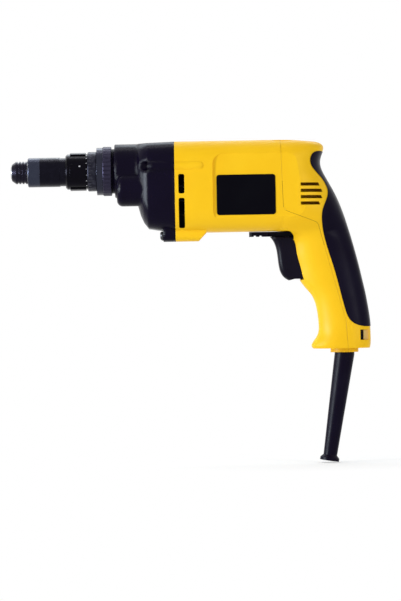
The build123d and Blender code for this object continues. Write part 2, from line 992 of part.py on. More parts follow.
# Gear case: spindle housing, layshaft dome and the flared skirt that meets the motor body
screw_places = [
    (-side_screw_spread, side_screw_height),
    (side_screw_spread, side_screw_height),
    (-bottom_screw_spread, bottom_screw_height),
    (bottom_screw_spread, bottom_screw_height),
]
side_screw_front = bevel_rear
bottom_screw_front = joint - bottom_lug_length
dome_front = layshaft_front - dome_wall
with BuildPart() as gear_case:
    add(bar(lock_front, lock_rear, spigot_radius))
    add(bar(lock_rear, case_front, case_neck_radius))
    add(bar(case_front, bevel_rear, case_radius))
    chamfer(gear_case.edges().filter_by(GeomType.CIRCLE).group_by(Axis.X)[-2], ring_bevel)
    add(domed_bar(dome_front, bevel_rear, dome_radius, dome_round).moved(layshaft_place))
    for behind, width, top, bottom, corner in flare_sections:
        with BuildSketch(Plane.YZ.offset(bevel_front + behind)):
            with Locations((0, (top + bottom) / 2)):
                RectangleRounded(width, top - bottom, corner)
    with BuildSketch(Plane.YZ.offset(joint)):
        with Locations((0, body_middle)):
            RectangleRounded(body_width, body_top - body_bottom, body_corner)
    loft(ruled=True)
    with BuildSketch(Plane.YZ.offset(side_screw_front)):
        with Locations(*screw_places[:2]):
            Circle(boss_radius)
    extrude(amount=joint - side_screw_front)
    with BuildSketch(Plane.YZ.offset(bottom_screw_front)):
        with Locations(*screw_places[2:]):
            Circle(boss_radius)
            with Locations((0, boss_radius)):
                Rectangle(2 * boss_radius, 2 * boss_radius)
    extrude(amount=joint - bottom_screw_front)
    add(bar(lock_front, pinion_front, pilot_radius), mode=Mode.SUBTRACT)
    add(bar(pinion_front, plate_front, chamber_radius), mode=Mode.SUBTRACT)
    add(
        bar(layshaft_front, pinion_front, layshaft_bearing_radius).moved(layshaft_place),
        mode=Mode.SUBTRACT,
    )
    add(
        bar(pinion_front, first_front, pinion_room_radius).moved(layshaft_place),
        mode=Mode.SUBTRACT,
    )
    add(
        bar(first_front - free, plate_front, first_gear_room_radius).moved(layshaft_place),
        mode=Mode.SUBTRACT,
    )
    with BuildSketch(Plane.YZ.offset(plate_front)):
        with Locations((0, body_middle)):
            RectangleRounded(plate_width, plate_height, plate_corner)
    extrude(amount=joint - plate_front, mode=Mode.SUBTRACT)
    with BuildSketch(Plane.YZ.offset(bottom_screw_front)):
        with Locations(*screw_places[2:]):
            Circle(screw_radius + sliding)
    extrude(amount=joint - bottom_screw_front, mode=Mode.SUBTRACT)
    with BuildSketch(Plane.YZ.offset(side_screw_front)):
        with Locations(*screw_places[:2]):
            Circle(screw_radius + sliding)
    extrude(amount=joint - side_screw_front, mode=Mode.SUBTRACT)
    with BuildSketch(Plane.YZ.offset(bevel_front)):
        with Locations(*screw_places[:2]):
            Circle(screw_head_radius + seam)
    extrude(amount=side_screw_front + screw_recess - bevel_front, mode=Mode.SUBTRACT)
gear_case.part.label = "gear_case"
export_step(gear_case.part, "parts/gear_case.step")

# Bearing plate: the inner casting between the gears and the motor
with BuildPart() as bearing_plate:
    with BuildSketch(Plane.YZ.offset(plate_front)):
        with Locations((0, body_middle)):
            RectangleRounded(plate_width - 2 * running, plate_height - 2 * running, plate_corner)
    extrude(amount=plate_length)
    add(bar(first_front, plate_front, drive_bush_radius + plate_boss_wall))
    add(bar(first_front, drive_bush_rear, drive_bush_radius), mode=Mode.SUBTRACT)
    layshaft_seat = bar(plate_front, plate_front + layshaft_bearing_length, layshaft_bearing_radius)
    add(layshaft_seat.moved(layshaft_place), mode=Mode.SUBTRACT)
    add(bar(plate_front, plate_rear, pinion_hole_radius).moved(motor_place), mode=Mode.SUBTRACT)
    add(bar(front_bearing_front, plate_rear, front_bearing_radius).moved(motor_place), mode=Mode.SUBTRACT)
bearing_plate.part.label = "bearing_plate"
export_step(bearing_plate.part, "parts/bearing_plate.step")

# Gear case screws: four, from the gear case into the motor housing
with BuildPart() as gear_case_screws:
    for number, (spread, height) in enumerate(screw_places):
        seat = side_screw_front + screw_recess if number < 2 else bottom_screw_front
        length = joint + screw_grip - seat
        add(
            screw(seat - screw_head_length, length, screw_head_radius, screw_radius, screw_head_length).moved(
                Location((0, spread, height))
            )
        )
gear_case_screws.part.label = "gear_case_screws"
export_step(gear_case_screws.part, "parts/gear_case_screws.step")

# Motor: everything here is drawn on the X axis and moved down to the motor's own axis
pinion_stub_front = first_front - pinion_overlap
pinion_stub_rear = first_rear + pinion_overlap
front_bearing_rear = front_bearing_front + front_bearing_length
with BuildPart() as armature_shaft:
    add(
        turned(
            (pinion_stub_front, 0),
            (pinion_stub_front, pinion_bore_radius),
            (pinion_stub_rear, pinion_bore_radius),
            (pinion_stub_rear, journal_radius),
            (front_bearing_rear, journal_radius),
            (front_bearing_rear, shaft_radius),
            (rear_bearing_front, shaft_radius),
            (rear_bearing_front, journal_radius),
            (rear_bearing_rear, journal_radius),
            (rear_bearing_rear, 0),
        ).moved(motor_place)
    )
armature_shaft.part.label = "armature_shaft"
export_step(armature_shaft.part, "parts/armature_shaft.step")

with BuildPart() as front_motor_bearing:
    add(
        tube(front_bearing_front, front_bearing_rear, journal_radius + running, front_bearing_radius).moved(
            motor_place
        )
    )
front_motor_bearing.part.label = "front_motor_bearing"
export_step(front_motor_bearing.part, "parts/front_motor_bearing.step")

with BuildPart() as rear_motor_bearing:
    add(
        tube(rear_bearing_front, rear_bearing_rear, journal_radius + running, rear_bearing_radius).moved(
            motor_place
        )
    )
rear_motor_bearing.part.label = "rear_motor_bearing"
export_step(rear_motor_bearing.part, "parts/rear_motor_bearing.step")

# Cooling fan: straight blades on a disc, drawing air forward over the motor
fan_front = joint + fan_start
fan_rear = fan_front + fan_length
with BuildPart() as cooling_fan:
    add(bar(fan_front, fan_front + fan_plate_thickness, fan_radius).moved(motor_place))
    add(bar(fan_front, fan_rear, fan_hub_radius).moved(motor_place))
    with BuildSketch(motor_plane(fan_front)):
        with PolarLocations((fan_hub_radius + fan_radius) / 2, fan_blade_count):
            Rectangle(fan_radius - fan_hub_radius + 2 * free, fan_blade_thickness)
        Circle(fan_radius, mode=Mode.INTERSECT)
    extrude(amount=fan_length)
    add(bar(fan_front, fan_rear, shaft_radius).moved(motor_place), mode=Mode.SUBTRACT)
cooling_fan.part.label = "cooling_fan"
export_step(cooling_fan.part, "parts/cooling_fan.step")

# Stator: a laminated ring with two poles, and a bent field coil round each pole
yoke_inner = stator_radius - stator_yoke
pole_face = armature_radius + air_gap
with BuildPart() as stator_core:
    add(tube(stack_front, stack_rear, yoke_inner, stator_radius).moved(motor_place))
    for middle in (90, 270):
        add(
            sector(stack_front, stack_rear, pole_face, stator_radius - free, middle, pole_half_angle).moved(
                motor_place
            )
        )
stator_core.part.label = "stator_core"
export_step(stator_core.part, "parts/stator_core.step")

coil_front = stack_front - coil_overhang
coil_rear = stack_rear + coil_overhang
coil_window = pole_half_angle + coil_angle_room
with BuildPart() as field_coils:
    for middle in (90, 270):
        add(
            sector(
                coil_front, coil_rear, coil_inner_radius, yoke_inner - seam, middle, coil_half_angle
            ).moved(motor_place)
        )
    for middle in (90, 270):
        add(
            sector(
                stack_front - seam, stack_rear + seam, pole_face, stator_radius, middle, coil_window
            ).moved(motor_place),
            mode=Mode.SUBTRACT,
        )
field_coils.part.label = "field_coils"
export_step(field_coils.part, "parts/field_coils.step")

# Armature: slotted core, windings through the slots, commutator behind
with BuildPart() as armature_core:
    add(bar(stack_front, stack_rear, armature_radius).moved(motor_place))
    with BuildSketch(motor_plane(stack_front)):
        with PolarLocations(armature_radius - armature_slot_depth / 2, armature_slot_count):
            Rectangle(armature_slot_depth + free, armature_slot_width)
        Circle(shaft_radius)
    extrude(amount=stack_length, mode=Mode.SUBTRACT)
armature_core.part.label = "armature_core"
export_step(armature_core.part, "parts/armature_core.step")

winding_front = stack_front - winding_overhang
winding_rear = stack_rear + winding_overhang
winding_radius = armature_radius - winding_depth
with BuildPart() as armature_windings:
    add(tube(winding_front, stack_front, shaft_radius, winding_radius).moved(motor_place))
    add(tube(stack_rear, winding_rear, shaft_radius, winding_radius).moved(motor_place))
    chamfer(armature_windings.edges().filter_by(GeomType.CIRCLE).group_by(SortBy.RADIUS)[-1], winding_round)
    with BuildSketch(motor_plane(winding_front + winding_round)):
        with PolarLocations(winding_radius - winding_bar_depth / 2, armature_slot_count):
            Rectangle(winding_bar_depth, armature_slot_width - 2 * running)
    extrude(amount=winding_rear - winding_front - 2 * winding_round)
armature_windings.part.label = "armature_windings"
export_step(armature_windings.part, "parts/armature_windings.step")

with BuildPart() as commutator:
    add(tube(winding_rear, commutator_front, shaft_radius, commutator_neck_radius).moved(motor_place))
    add(tube(commutator_front, commutator_rear, shaft_radius, commutator_radius).moved(motor_place))
    with BuildSketch(motor_plane(commutator_front)):
        with PolarLocations(commutator_radius, commutator_bar_count):
            Rectangle(2 * commutator_slot_depth, commutator_slot_width)
    extrude(amount=commutator_length, mode=Mode.SUBTRACT)
commutator.part.label = "commutator"
export_step(commutator.part, "parts/commutator.step")

# Brush gear: a holder, a brush and a spring on either side of the commutator
brush_middle = (commutator_front + commutator_rear) / 2
brush_inner = commutator_radius + brush_gap
brush_outer = brush_inner + brush_length
brush_half_width = brush_width / 2
brush_half_height = brush_height / 2
brush_cap = brush_holder_outer - brush_holder_wall


def both_sides(piece):
    """A piece drawn on the right side, and its mirror image on the left."""
    return [piece, piece.mirror(Plane.XZ)]


def brush_box(inner, outer, margin):
    """A box round the right brush, margin larger than it along X and Z."""
    return block(
        (brush_middle - brush_half_width - margin, inner, -motor_drop - brush_half_height - margin),
        (brush_middle + brush_half_width + margin, outer, -motor_drop + brush_half_height + margin),
    )


with BuildPart() as carbon_brushes:
    for piece in both_sides(brush_box(brush_inner, brush_outer, 0)):
        add(piece)
carbon_brushes.part.label = "carbon_brushes"
export_step(carbon_brushes.part, "parts/carbon_brushes.step")

with BuildPart() as brush_holders:
    for piece in both_sides(brush_box(brush_holder_inner, brush_holder_outer, brush_holder_wall)):
        add(piece)
    for piece in both_sides(brush_box(brush_holder_inner, brush_cap, sliding)):
        add(piece, mode=Mode.SUBTRACT)
brush_holders.part.label = "brush_holders"
export_step(brush_holders.part, "parts/brush_holders.step")

brush_axis = Location((brush_middle, 0, -motor_drop), (0, 0, 90))
with BuildPart() as brush_springs:
    spring = coil(brush_outer, brush_cap, brush_spring_radius, brush_wire, brush_spring_turns)
    for piece in both_sides(spring.moved(brush_axis)):
        add(piece)
brush_springs.part.label = "brush_springs"
export_step(brush_springs.part, "parts/brush_springs.step")

# Body moulding as one form, parted below into the motor housing and the handle cover
floor_top = handle_sections[-2][0]
far_behind = joint + 2 * can_length


def upright(low, high, radius):
    """A round bar standing upright on the cord's line."""
    with BuildPart() as form:
        with BuildSketch(Plane.XY.offset(low)):
            with Locations((joint + boot_x, 0)):
                Circle(radius)
        extrude(amount=high - low)
    return form.part


def panel_recess(side):
    """What is cut from one flank to sink its panel."""
    with BuildPart() as form:
        with BuildSketch(Plane.XZ.offset(-side * panel_half_width)):
            with Locations((joint + panel_start, (panel_top + panel_bottom) / 2)):
                RectangleRounded(
                    panel_length, panel_top - panel_bottom, panel_corner, align=(Align.MIN, Align.CENTER)
                )
        extrude(amount=-side * body_width)
    return form.part


handle_outside = handle_form(0, handle_sections)
handle_inside = handle_form(handle_wall, hollow_sections)
with BuildPart() as body_form:
    collar_ring = upright(collar_ring_bottom, floor_top, collar_ring_radius)
    add([can_form(0, joint, joint_rear), handle_outside, collar_ring])
    add(
        [
            panel_recess(-1),
            panel_recess(1),
            can_form(cavity_inset, joint, web_front),
            handle_inside,
            upright(collar_ring_bottom, floor_top, boot_radius),
        ],
        mode=Mode.SUBTRACT,
    )

# Motor housing: the motor can with the front half of the handle
cover_region = side_region(behind_joint(parting_line), parting_round, far_behind)
window_rear = joint + switch_front
handle_screw_place = Location((0, 0, handle_screw_height))
clamp_front = joint + boot_x + cord_radius
clamp_seat = joint + boot_x - cord_radius


def stator_rib(front):
    """A wall across the can that carries the stator, open at the corners for the air."""
    with BuildPart() as form:
        add(can_form(cavity_inset - free, front, front + stator_rib_length))
        add(bar(front, front + stator_rib_length, stator_radius).moved(motor_place), mode=Mode.SUBTRACT)
        with BuildSketch(motor_plane(front)):
            with GridLocations(2 * air_hole_spread, 2 * air_hole_rise, 2, 2):
                Circle(air_hole_radius)
        extrude(amount=stator_rib_length, mode=Mode.SUBTRACT)
    return form.part


def throat():
    """The room between the can and the handle, where the lever runs above the trigger."""
    with BuildPart() as form:
        corners = [
            (throat_front, throat_bottom),
            (throat_front, throat_top),
            (throat_rear, throat_top),
            (throat_rear, throat_bottom),
        ]
        add(side_form(behind_joint(corners), body_width / 2))
        inner_edge = form.edges().filter_by(Axis.Y).group_by(Axis.Z)[-1].sort_by(Axis.X)[-1]
        fillet(inner_edge, throat_round)
    return form.part


def flank_boss():
    """The right flank's screw boss, with a rounded end."""
    with BuildPart() as form:
        add(bar(joint, joint + side_boss_length - boss_radius, boss_radius))
        with Locations((joint + side_boss_length - boss_radius, 0, 0)):
            Sphere(boss_radius)
    return form.part.moved(Location((0, *screw_places[1])))


def bottom_boss():
    """The right one of the screw bosses under the can, running out in a slope."""
    boss_rear = joint + bottom_boss_length
    boss_bottom = bottom_screw_height - boss_radius
    with BuildPart() as form:
        with BuildSketch(Plane.YZ.offset(joint)):
            with Locations(screw_places[3]):
                Circle(boss_radius)
                with Locations((0, boss_radius)):
                    Rectangle(2 * boss_radius, 2 * boss_radius)
        extrude(amount=bottom_boss_length)
        add(
            side_form(
                [
                    (joint, boss_bottom),
                    (boss_rear - bottom_boss_slope, boss_bottom),
                    (boss_rear, body_bottom),
                    (boss_rear, bottom_screw_height + 2 * boss_radius),
                    (joint, bottom_screw_height + 2 * boss_radius),
                ],
                body_width / 2,
            ),
            mode=Mode.INTERSECT,
        )
    return form.part


def handle_ribs():
    """The switch ledge, handle screw boss and cord saddle inside the handle."""
    with BuildPart() as form:
        add(
            block(
                (window_rear - ledge_lip, -body_width, switch_bottom - ledge_thickness),
                (window_rear + switch_length, body_width, switch_bottom),
            )
        )
        add(bar(joint, joint + handle_boss_rear, handle_boss_radius).moved(handle_screw_place))
        add(
            block(
                (joint, -clamp_length / 2, clamp_height - clamp_width / 2),
                (clamp_seat, clamp_length / 2, clamp_height + clamp_width / 2),
            )
        )
        add(handle_form(handle_wall - free, hollow_sections), mode=Mode.INTERSECT)
    return form.part


def clamp_posts(front, rear, radius):
    """Two bars along X, one to either side of the cord."""
    post = bar(front, rear, radius).moved(Location((0, clamp_spread, clamp_height)))
    return both_sides(post)


def flank_vents():
    """The front air outlets, as a form that runs through both flanks."""
    with BuildPart() as form:
        for bottom, top in front_vent_spans:
            with BuildSketch(Plane.XZ):
                with Locations((joint + front_vent_start + front_vent_length / 2, (bottom + top) / 2)):
                    RectangleRounded(front_vent_length, top - bottom, front_vent_corner)
            extrude(amount=body_width, both=True)
    return form.part


def nameplate_form(inner, outer):
    """The plate's outline on the left flank, between two distances from the middle plane."""
    with BuildPart() as form:
        with BuildSketch(Plane.XZ.offset(inner)):
            with Locations((joint + plate_start + nameplate_length / 2, nameplate_middle)):
                RectangleRounded(nameplate_length, nameplate_height, nameplate_corner)
        extrude(amount=outer - inner)
    return form.part


nameplate_inner = panel_half_width - nameplate_recess
handle_ribs_form = handle_ribs()
arm_front = brush_middle + brush_half_width + brush_holder_wall
arm_low = -motor_drop - brush_arm_width / 2
arm_high = -motor_drop + brush_arm_width / 2
case_screw_hole = bar(joint, joint + screw_grip, screw_radius)
case_screw_holes = [case_screw_hole.moved(Location((0, *place))) for place in screw_places]
fan_tongue = block(
    (fan_front, tongue_spread, body_bottom + wall),
    (fan_rear, tongue_spread + tongue_thickness, -motor_drop - fan_radius + tongue_rise),
)
brush_arm = block((arm_front, brush_arm_inner, arm_low), (web_front, brush_arm_outer, arm_high))
with BuildPart() as motor_housing:
    # Bosses, stator walls, rear web with its bearing seat and the arms for the brush holders
    add(body_form.part)
    add(
        [
            *both_sides(flank_boss()),
            *both_sides(bottom_boss()),
            stator_rib(stack_front + stator_rib_setback),
            stator_rib(stack_rear - stator_rib_setback - stator_rib_length),
            can_form(cavity_inset - free, web_front, web_rear),
            bar(rear_bearing_front, web_front, rear_bearing_radius + bearing_boss_wall).moved(motor_place),
            *both_sides(brush_arm),
            handle_ribs_form,
        ]
    )
    add(cover_region, mode=Mode.SUBTRACT)
    # Posts for the cord clamp, standing past the seam
    add(clamp_posts(clamp_seat - free, clamp_front, clamp_boss_radius))
    # Bearing seat, opening for the trigger and the lever, air outlets, seat of the plate, screw holes
    add(
        [
            bar(rear_bearing_front, rear_bearing_rear, rear_bearing_radius).moved(motor_place),
            block(
                (joint + window_front, -trigger_width / 2 - free, window_bottom),
                (window_rear, trigger_width / 2 + free, window_top),
            ),
            throat(),
            flank_vents(),
            nameplate_form(nameplate_inner, body_width / 2),
            bar(joint, joint + handle_screw_seat, screw_head_radius + seam).moved(handle_screw_place),
            bar(joint + handle_screw_seat, far_behind, screw_radius + sliding).moved(handle_screw_place),
            *clamp_posts(clamp_front - clamp_screw_length, clamp_front, clamp_screw_radius),
            *case_screw_holes,
        ],
        mode=Mode.SUBTRACT,
    )
    with BuildSketch(motor_plane(web_front)):
        with GridLocations(2 * web_hole_spread, 2 * web_hole_rise, 2, 2):
            Circle(air_hole_radius)
    extrude(amount=web_thickness, mode=Mode.SUBTRACT)
    add(both_sides(fan_tongue))
motor_housing.part.label = "motor_housing"
export_step(motor_housing.part, "parts/motor_housing.step")

# Rubber grip on the back of the handle, let into the cover by its own thickness
with BuildPart() as grip_room:
    add(side_region(behind_joint(grip_edge), 0, far_behind))
    add(handle_form(grip_skin, hollow_sections), mode=Mode.SUBTRACT)
with BuildPart() as rear_grip:
    add(handle_form(-grip_proud, handle_sections))
    add(grip_room.part, mode=Mode.INTERSECT)
rear_grip.part.label = "rear_grip"
export_step(rear_grip.part, "parts/rear_grip.step")

# Handle cover: the rear half of the handle, with slots for the cooling air
def cover_ribs():
    """The post inside the cover that takes the handle screw, and the rib behind the air slots."""
    with BuildPart() as form:
        post = bar(joint + cover_boss_front, joint + handle_boss_rear, handle_boss_radius)
        add(post.moved(handle_screw_place))
        add(
            block(
                (joint + slot_front, -slot_rib_thickness / 2, slot_rib_bottom),
                (far_behind, slot_rib_thickness / 2, slot_rib_top),
            )
        )
        add(handle_form(handle_wall - free, hollow_sections), mode=Mode.INTERSECT)
    return form.part


def heel_pockets():
    """The ramped pockets in both flanks of the heel."""
    with BuildPart() as form:
        front = joint + heel_pocket_front
        rear = joint + heel_pocket_rear
        with BuildSketch(Plane.XY.offset(heel_pocket_bottom)):
            with BuildLine():
                Polyline(
                    (front, heel_slot_half_width),
                    (front + heel_slot_length, heel_slot_half_width),
                    (front + heel_slot_length, heel_pocket_floor[0]),
                    (rear, heel_pocket_floor[1]),
                    (rear, body_width / 2),
                    (front, body_width / 2),
                    close=True,
                )
            make_face()
        extrude(amount=heel_pocket_height)
    return both_sides(form.part)


def air_slots():
    """The slots for the cooling air, as forms that run through both flanks."""
    slots = []
    for number, length in enumerate(slot_lengths):
        low = slot_top - number * slot_pitch - slot_height / 2
        front = joint + slot_front
        outline = [
            (front, low),
            (front, low + slot_height),
            (front + length - slot_slant, low + slot_height),
            (front + length, low),
        ]
        slots.append(side_form(outline, body_width))
    return slots


with BuildPart() as handle_cover:
    add(body_form.part)
    add(side_region(behind_joint(parting_line, parting_gap), parting_round, far_behind), mode=Mode.INTERSECT)
    screw_end = joint + handle_screw_seat + handle_screw_length
    add([grip_room.part, *air_slots(), *heel_pockets()], mode=Mode.SUBTRACT)
    add(cover_ribs())
    add(bar(joint, screw_end, screw_radius).moved(handle_screw_place), mode=Mode.SUBTRACT)
handle_cover.part.label = "handle_cover"
export_step(handle_cover.part, "parts/handle_cover.step")

with BuildPart() as handle_screw:
    add(
        screw(
            joint + handle_screw_seat - screw_head_length,
            handle_screw_length,
            screw_head_radius,
            screw_radius,
            screw_head_length,
        ).moved(handle_screw_place)
    )
handle_screw.part.label = "handle_screw"
export_step(handle_screw.part, "parts/handle_screw.step")

# Bare plate on the left flank
with BuildPart() as nameplate:
    add(nameplate_form(nameplate_inner, nameplate_inner + nameplate_thickness))
nameplate.part.label = "nameplate"
export_step(nameplate.part, "parts/nameplate.step")

# Trigger with its plunger, the switch behind it and the spring between them
plunger_place = Location((0, 0, plunger_height))
spring_pocket_radius = trigger_spring_radius + trigger_wire / 2 + free
trigger_top = lever_top - lever_thickness - seam
with BuildPart() as trigger:
    with BuildSketch(Plane.XZ):
        with BuildLine():
            front_curve = Spline(*behind_joint(trigger_front_curve))
            Polyline(
                front_curve @ 1,
                *behind_joint([trigger_foot, (trigger_rear, trigger_foot[1]), (trigger_rear, trigger_top)]),
                front_curve @ 0,
            )
        make_face()
    extrude(amount=trigger_width / 2, both=True)
    finger_edges = trigger.edges().filter_by(GeomType.BSPLINE)
    fillet(finger_edges, trigger_round)
    add(
        bar(joint + trigger_rear - trigger_pocket_depth, joint + trigger_rear, spring_pocket_radius).moved(
            plunger_place
        ),
        mode=Mode.SUBTRACT,
    )
    add(
        bar(joint + trigger_rear - trigger_pocket_depth, joint + plunger_rear, plunger_radius).moved(
            plunger_place
        )
    )
trigger.part.label = "trigger"
export_step(trigger.part, "parts/trigger.step")

with BuildPart() as trigger_spring:
    add(
        coil(
            joint + trigger_rear - trigger_pocket_depth,
            window_rear,
            trigger_spring_radius,
            trigger_wire,
            trigger_spring_turns,
        ).moved(plunger_place)
    )
trigger_spring.part.label = "trigger_spring"
export_step(trigger_spring.part, "parts/trigger_spring.step")

with BuildPart() as trigger_switch:
    add(
        block(
            (window_rear, -switch_width / 2, switch_bottom),
            (window_rear + switch_length, switch_width / 2, switch_top),
        )
    )
    fillet(trigger_switch.edges().filter_by(Axis.Z), switch_round)
    add(
        bar(window_rear, window_rear + plunger_hole_depth, plunger_radius + sliding).moved(plunger_place),
        mode=Mode.SUBTRACT,
    )
    with BuildSketch(Plane.XY.offset(switch_top)):
        with Locations((joint + lever_pivot, 0)):
            Circle(lever_pin_radius)
    extrude(amount=lever_top - switch_top)
trigger_switch.part.label = "trigger_switch"
export_step(trigger_switch.part, "parts/trigger_switch.step")

# Reversing lever: a flat bar under the motor can, swinging on the pin of the switch
with BuildPart() as reversing_lever:
    with BuildSketch(Plane.XY.offset(lever_top - lever_thickness)):
        with Locations((joint + lever_pivot, 0)):
            Circle(lever_hub_radius)
        with Locations((joint + (lever_front + lever_pivot) / 2, 0)):
            Rectangle(lever_pivot - lever_front - lever_pad_width, lever_width)
        with Locations((joint + lever_front, 0)):
            RectangleRounded(
                lever_pad_length, lever_pad_width, lever_pad_width / 3, align=(Align.MIN, Align.CENTER)
            )
    extrude(amount=lever_thickness)
    for number in range(lever_groove_count):
        with BuildSketch(Plane.XZ):
            with Locations(
                (joint + lever_front + (number + 1) * lever_groove_pitch, lever_top - lever_thickness)
            ):
                Circle(lever_groove_radius)
        extrude(amount=lever_pad_width, both=True, mode=Mode.SUBTRACT)
    with BuildSketch(Plane.XY.offset(lever_top - lever_thickness)):
        with Locations((joint + lever_pivot, 0)):
            Circle(lever_pin_radius + running)
    extrude(amount=lever_thickness, mode=Mode.SUBTRACT)
reversing_lever.part.label = "reversing_lever"
export_step(reversing_lever.part, "parts/reversing_lever.step")

# Cord clamp: a bar across the cord, screwed to the posts
clamp_rear = clamp_front + clamp_thickness
with BuildPart() as cord_clamp:
    add(
        block(
            (clamp_front, -clamp_length / 2, clamp_height - clamp_width / 2),
            (clamp_rear, clamp_length / 2, clamp_height + clamp_width / 2),
        )
    )
    fillet(cord_clamp.edges().filter_by(Axis.X), clamp_round)
    for piece in clamp_posts(clamp_front, clamp_rear, clamp_screw_radius + sliding):
        add(piece, mode=Mode.SUBTRACT)
cord_clamp.part.label = "cord_clamp"
export_step(cord_clamp.part, "parts/cord_clamp.step")

with BuildPart() as cord_clamp_screws:
    for piece in clamp_posts(clamp_front - clamp_screw_length, clamp_rear, clamp_screw_radius):
        add(piece)
    for piece in clamp_posts(clamp_rear, clamp_rear + clamp_screw_head_length, clamp_screw_head_radius):
        add(piece)
cord_clamp_screws.part.label = "cord_clamp_screws"
export_step(cord_clamp_screws.part, "parts/cord_clamp_screws.step")

# Bend protector: a flange inside the handle, a long taper leaning forward, a flared mouth
bend_height = collar_ring_bottom - boot_straight
bend = Location((joint + boot_x, 0, bend_height), (0, 90 + boot_tilt, 0))
with BuildPart() as cord_boot:
    add(upright(floor_top, floor_top + boot_flange_length, boot_flange_radius))
    add(upright(bend_height, floor_top, boot_radius))
    with Locations((joint + boot_x, 0, bend_height)):
        Sphere(boot_radius)
    add(
        turned(
            (0, 0),
            (0, boot_radius),
            (boot_length - boot_flare_length, boot_end_radius),
            (boot_length - boot_flare_length / 2, boot_flare_radius),
            (boot_length, boot_flare_radius),
            (boot_length, 0),
        ).moved(bend)
    )
    add(upright(bend_height, floor_top + boot_flange_length, cord_radius), mode=Mode.SUBTRACT)
    with Locations((joint + boot_x, 0, bend_height)):
        Sphere(cord_radius, mode=Mode.SUBTRACT)
    add(bar(0, boot_length, cord_radius).moved(bend), mode=Mode.SUBTRACT)
cord_boot.part.label = "cord_boot"
export_step(cord_boot.part, "parts/cord_boot.step")
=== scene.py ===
import math

import bmesh
import bpy
from mathutils import Matrix, Vector
from mathutils.bvhtree import BVHTree


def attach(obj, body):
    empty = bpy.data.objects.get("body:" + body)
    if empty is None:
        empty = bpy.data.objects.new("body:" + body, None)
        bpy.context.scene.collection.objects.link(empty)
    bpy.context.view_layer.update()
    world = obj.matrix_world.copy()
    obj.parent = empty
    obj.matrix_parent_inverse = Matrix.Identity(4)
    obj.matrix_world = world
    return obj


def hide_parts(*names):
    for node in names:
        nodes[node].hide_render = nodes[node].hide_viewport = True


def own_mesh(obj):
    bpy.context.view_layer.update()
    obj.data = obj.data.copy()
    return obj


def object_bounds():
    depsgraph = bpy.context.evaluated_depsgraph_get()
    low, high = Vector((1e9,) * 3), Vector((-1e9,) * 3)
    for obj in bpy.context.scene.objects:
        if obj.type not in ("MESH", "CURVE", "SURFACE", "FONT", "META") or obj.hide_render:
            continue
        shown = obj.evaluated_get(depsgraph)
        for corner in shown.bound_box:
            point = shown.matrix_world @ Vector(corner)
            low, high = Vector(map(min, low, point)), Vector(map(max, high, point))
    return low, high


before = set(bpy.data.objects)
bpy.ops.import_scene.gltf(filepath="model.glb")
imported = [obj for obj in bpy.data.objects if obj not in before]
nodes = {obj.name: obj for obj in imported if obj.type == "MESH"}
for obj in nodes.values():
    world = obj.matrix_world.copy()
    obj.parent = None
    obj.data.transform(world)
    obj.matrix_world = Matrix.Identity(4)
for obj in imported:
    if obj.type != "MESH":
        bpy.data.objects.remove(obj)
cad_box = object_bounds()
scene = bpy.context.scene

# Sizes are in metres, in the part's own frame: X runs back from the bit socket, Z is up, -Y is the left side
MM = 0.001


def mm(*values):
    """Values in millimetres, as a tuple in metres."""
    return tuple(value * MM for value in values)


def rgb(red, green, blue):
    """A linear colour with full alpha."""
    return (red, green, blue, 1.0)


# Camera
VIEW_CENTRE = Vector((0.1638, 0.0, -0.1143))
VIEW_HEIGHT = 0.5259
VIEW_TILT = math.radians(1.0)
VIEW_DISTANCE = 3.0
SENSOR = 36.0

# Floor, with its shadow round the foot of the bend protector
FLOOR_REACH = 6.0
FLOOR_GAP = 0.4 * MM
FOOT_X = 0.275
SHADOW_NEAR = 10 * MM
SHADOW_FAR = 160 * MM
SHADOW_SHARE = 0.35
PAPER = rgb(0.92, 0.92, 0.92)
PAPER_SHADE = rgb(0.9, 0.9, 0.9)
PAPER_ROUGHNESS = 0.9
PAPER_CLOUDS = 4.0

# Light. Lamps: name, place, width, height, watts, tint, and whether matt surfaces are lit by it too
WHITE = rgb(1.0, 1.0, 1.0)
AMBIENT = 0.4
NEUTRAL = (1.0, 1.0, 1.0)
COOL = (0.82, 0.92, 1.0)
LAMP_TARGET = Vector((0.16, 0.0, -0.08))
LAMPS = (
    ("overhead", (0.1, 0.3, 1.0), 1.2, 0.1, 2.0, NEUTRAL, True),
    ("key", (-1.05, -0.85, 0.5), 0.12, 0.5, 12.0, NEUTRAL, True),
    ("fill", (1.2, -1.2, 0.4), 0.5, 0.9, 8.0, NEUTRAL, True),
    ("rim", (-1.5, -0.12, -0.02), 0.2, 0.5, 12.0, COOL, True),
    ("gleam", (-1.35, -0.75, -0.02), 0.4, 0.6, 42.0, COOL, False),
    ("back", (0.1, 0.82, 0.8), 1.5, 0.45, 7.0, COOL, True),
)

# Edges as they catch the light: moulded and turned ones, those of the casting, those of the trigger
BEVEL_SAMPLES = 8
EDGE_RADIUS = 0.35 * MM
CAST_EDGE_RADIUS = 4.5 * MM
TRIGGER_EDGE_RADIUS = 3.0 * MM

# Marks lie a little in the surface and stand a little proud of it
MARK_SINK = 0.06 * MM
MARK_PROUD = 0.04 * MM

